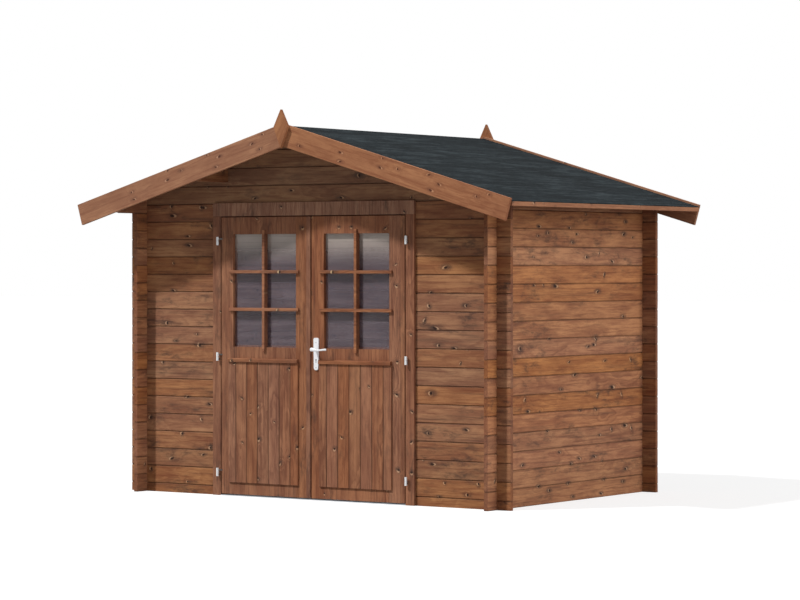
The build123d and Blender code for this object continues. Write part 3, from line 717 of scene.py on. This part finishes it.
def screwPieces(face):
    low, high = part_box(f"{face}_handle_plate")
    outward = -1 if face == "outer" else 1
    front = low.y if outward < 0 else high.y
    middleX = (low.x + high.x) / 2
    turns = [2 * math.pi * step / screws["sides"] for step in range(screws["sides"])]
    heads, slots = [], []
    for z in (high.z - screws["fromTop"], low.z + screws["fromFoot"]):
        rings = []
        for rise, part in screws["profile"]:
            radius, y = screws["radius"] * part, front + outward * screws["proud"] * rise
            rings.append([(middleX + radius * math.cos(turn * outward), y,
                           z + radius * math.sin(turn * outward)) for turn in turns])
        heads.append(skin(rings))
        for turned in (screws["slotTurn"], screws["slotTurn"] + math.pi / 2):
            alongSlot = Vector((math.cos(turned), 0, math.sin(turned))) * screws["slotHalf"]
            acrossSlot = Vector((-math.sin(turned), 0, math.cos(turned))) * screws["slotWide"]
            rings = []
            for rise in screws["slotRise"]:
                spot = Vector((middleX, front + outward * screws["proud"] * rise, z))
                rings.append([spot + alongSlot * a + acrossSlot * b
                              for a, b in ((-1, -1), (1, -1), (1, 1), (-1, 1))])
            slots.append(skin(rings if outward > 0 else [ring[::-1] for ring in rings]))
    makePiece(f"{face}_plate_screws", *joined(*heads), whiteEnamel, "right_leaf")
    makePiece(f"{face}_screw_slots", *joined(*slots), slotShadePaint, "right_leaf")


for face in ("outer", "inner"):
    screwPieces(face)
print("levers and screws done")

# glass: dusty panes, with a painted reflection that makes them lighter and less see-through along their top
panes = {
    "low": rgb(110, 96, 106),
    "high": rgb(136, 119, 127),
    # the colour of the painted reflection along the top of the panes
    "top": rgb(190, 176, 164),
    "reflectionHeight": (1.45, 1.70),
    "lineGap": 0.038,
    "lineShade": rgb(78, 66, 72),
}
material, start = newMaterial("window_glass")
place = start.node("ShaderNodeTexCoord", output="Object")
film = start.noise(place, 5.0, 5.0, 0.6)
wiped = start.noise(start.vector(place.dot(xAxis) * 2.2, place.dot(zAxis) * 42.0), 1.0, 4.0, 0.6)
rows = place.dot(zAxis) / panes["lineGap"] + wiped * 0.25
faint = (rows - rows.floor() - 0.5).size().smooth(0.455, 0.49)
# painted reflection: towards the top the panes turn lighter and less see-through
paintedTopReflection = place.dot(zAxis).smooth(*panes["reflectionHeight"])
paneColour = start.mix(wiped.smooth(0.3, 0.7), panes["low"], panes["high"])
paneColour = start.mix(paintedTopReflection, paneColour, panes["top"])
paneColour = start.mix(faint * film.smooth(0.3, 0.6) * 0.4, paneColour, panes["lineShade"])
surface(start, {
    "Base Color": paneColour,
    "Roughness": 0.04 + film.smooth(0.5, 0.8) * 0.06,
    "Alpha": 0.30 + film.smooth(0.4, 0.8) * 0.10 + wiped * 0.08 + paintedTopReflection * 0.36,
    "Specular IOR Level": 0.6})
assign(("left_leaf_glass", "right_leaf_glass"), material)
print("glass done")

wooden = [row["node"] for row in frame["record"]["subparts"]
          if row["material_slot"] in ("log_wood", "board_wood", "door_wood")]
soften([name for name in wooden if "wall" in name or "gable" in name], wallSoft)
soften([name for name in wooden if "wall" not in name and "gable" not in name], timberSoft)

stage = {
    "floorHalf": 90.0, "floorShade": 0.34, "floorGlow": 0.74,
    "sunTowards": (0.75, 1.0, -1.57), "sunStrength": 3.1, "sunAngle": 3.5,
    "fillTowards": (-1.0, -0.06, -0.38), "fillStrength": 1.9, "fillAngle": 50.0,
    "sky": 0.32,
}
view = {"place": (10.991, -15.831, 1.477), "heading": 34.559, "lens": 132.24, "sensor": 36.0,
        "shift": -0.0421,
        "clipEnd": 500.0}


def makeFloor():
    half = stage["floorHalf"]
    mesh = bpy.data.meshes.new("floor")
    mesh.from_pydata([(-half, -half, 0), (half, -half, 0), (half, half, 0), (-half, half, 0)], [],
                     [(0, 1, 2, 3)])
    floor = bpy.data.objects.new("floor", mesh)
    bpy.context.scene.collection.objects.link(floor)
    material, start = newMaterial("pale_floor")
    path = start.node("ShaderNodeLightPath")
    place = start.node("ShaderNodeTexCoord", output="Object")
    patch = start.noise(place, 0.8, 3.0)
    shades = [(stage["floorShade"] + more,) * 3 + (1,) for more in (0.0, 0.03)]
    diffuse = start.node("ShaderNodeBsdfPrincipled", None, {
        "Base Color": start.mix(patch, *shades), "Roughness": 0.9, "Specular IOR Level": 0.0})
    glow = start.node("ShaderNodeEmission", None, {"Color": (1, 1, 1, 1), "Strength": stage["floorGlow"]})
    nothing = start.node("ShaderNodeEmission", None, {"Color": (0, 0, 0, 1), "Strength": 0.0})
    seen = path.out("Is Camera Ray") + path.out("Is Glossy Ray") + path.out("Is Transmission Ray")
    lift = start.node("ShaderNodeMixShader", None, {0: seen, 1: nothing, 2: glow})
    shader = start.node("ShaderNodeAddShader", None, {0: diffuse, 1: lift})
    start.node("ShaderNodeOutputMaterial", None, {"Surface": shader})
    mesh.materials.append(material)


def makeLight():
    for name in ("sun", "fill"):
        lamp = bpy.data.lights.new(name, "SUN")
        lamp.energy = stage[name + "Strength"]
        lamp.angle = math.radians(stage[name + "Angle"])
        lampObject = bpy.data.objects.new(name, lamp)
        lampObject.rotation_euler = Vector(stage[name + "Towards"]).to_track_quat("-Z", "Y").to_euler()
        bpy.context.scene.collection.objects.link(lampObject)
    world = bpy.data.worlds.new("studio")
    bpy.context.scene.world = world
    world.use_nodes = True
    tree = world.node_tree
    tree.nodes.clear()
    start = Link(tree)
    path = start.node("ShaderNodeLightPath")
    seen = path.out("Is Camera Ray") + path.out("Is Glossy Ray") + path.out("Is Transmission Ray")
    strength = start.maths("MINIMUM", seen, 1.0) * (1.0 - stage["sky"]) + stage["sky"]
    back = start.node("ShaderNodeBackground", None, {"Color": (1, 1, 1, 1), "Strength": strength})
    start.node("ShaderNodeOutputWorld", None, {"Surface": back})


def makeCamera():
    lens = bpy.data.cameras.new("camera")
    lens.lens = view["lens"]
    lens.sensor_width = view["sensor"]
    lens.shift_y = view["shift"]
    lens.clip_end = view["clipEnd"]
    camera = bpy.data.objects.new("camera", lens)
    camera.location = view["place"]
    camera.rotation_euler = (math.radians(90), 0, math.radians(view["heading"]))
    bpy.context.scene.collection.objects.link(camera)
    bpy.context.scene.camera = camera


makeFloor()
makeLight()
makeCamera()
bpy.context.scene.view_settings.view_transform = "Standard"
print("stage done")
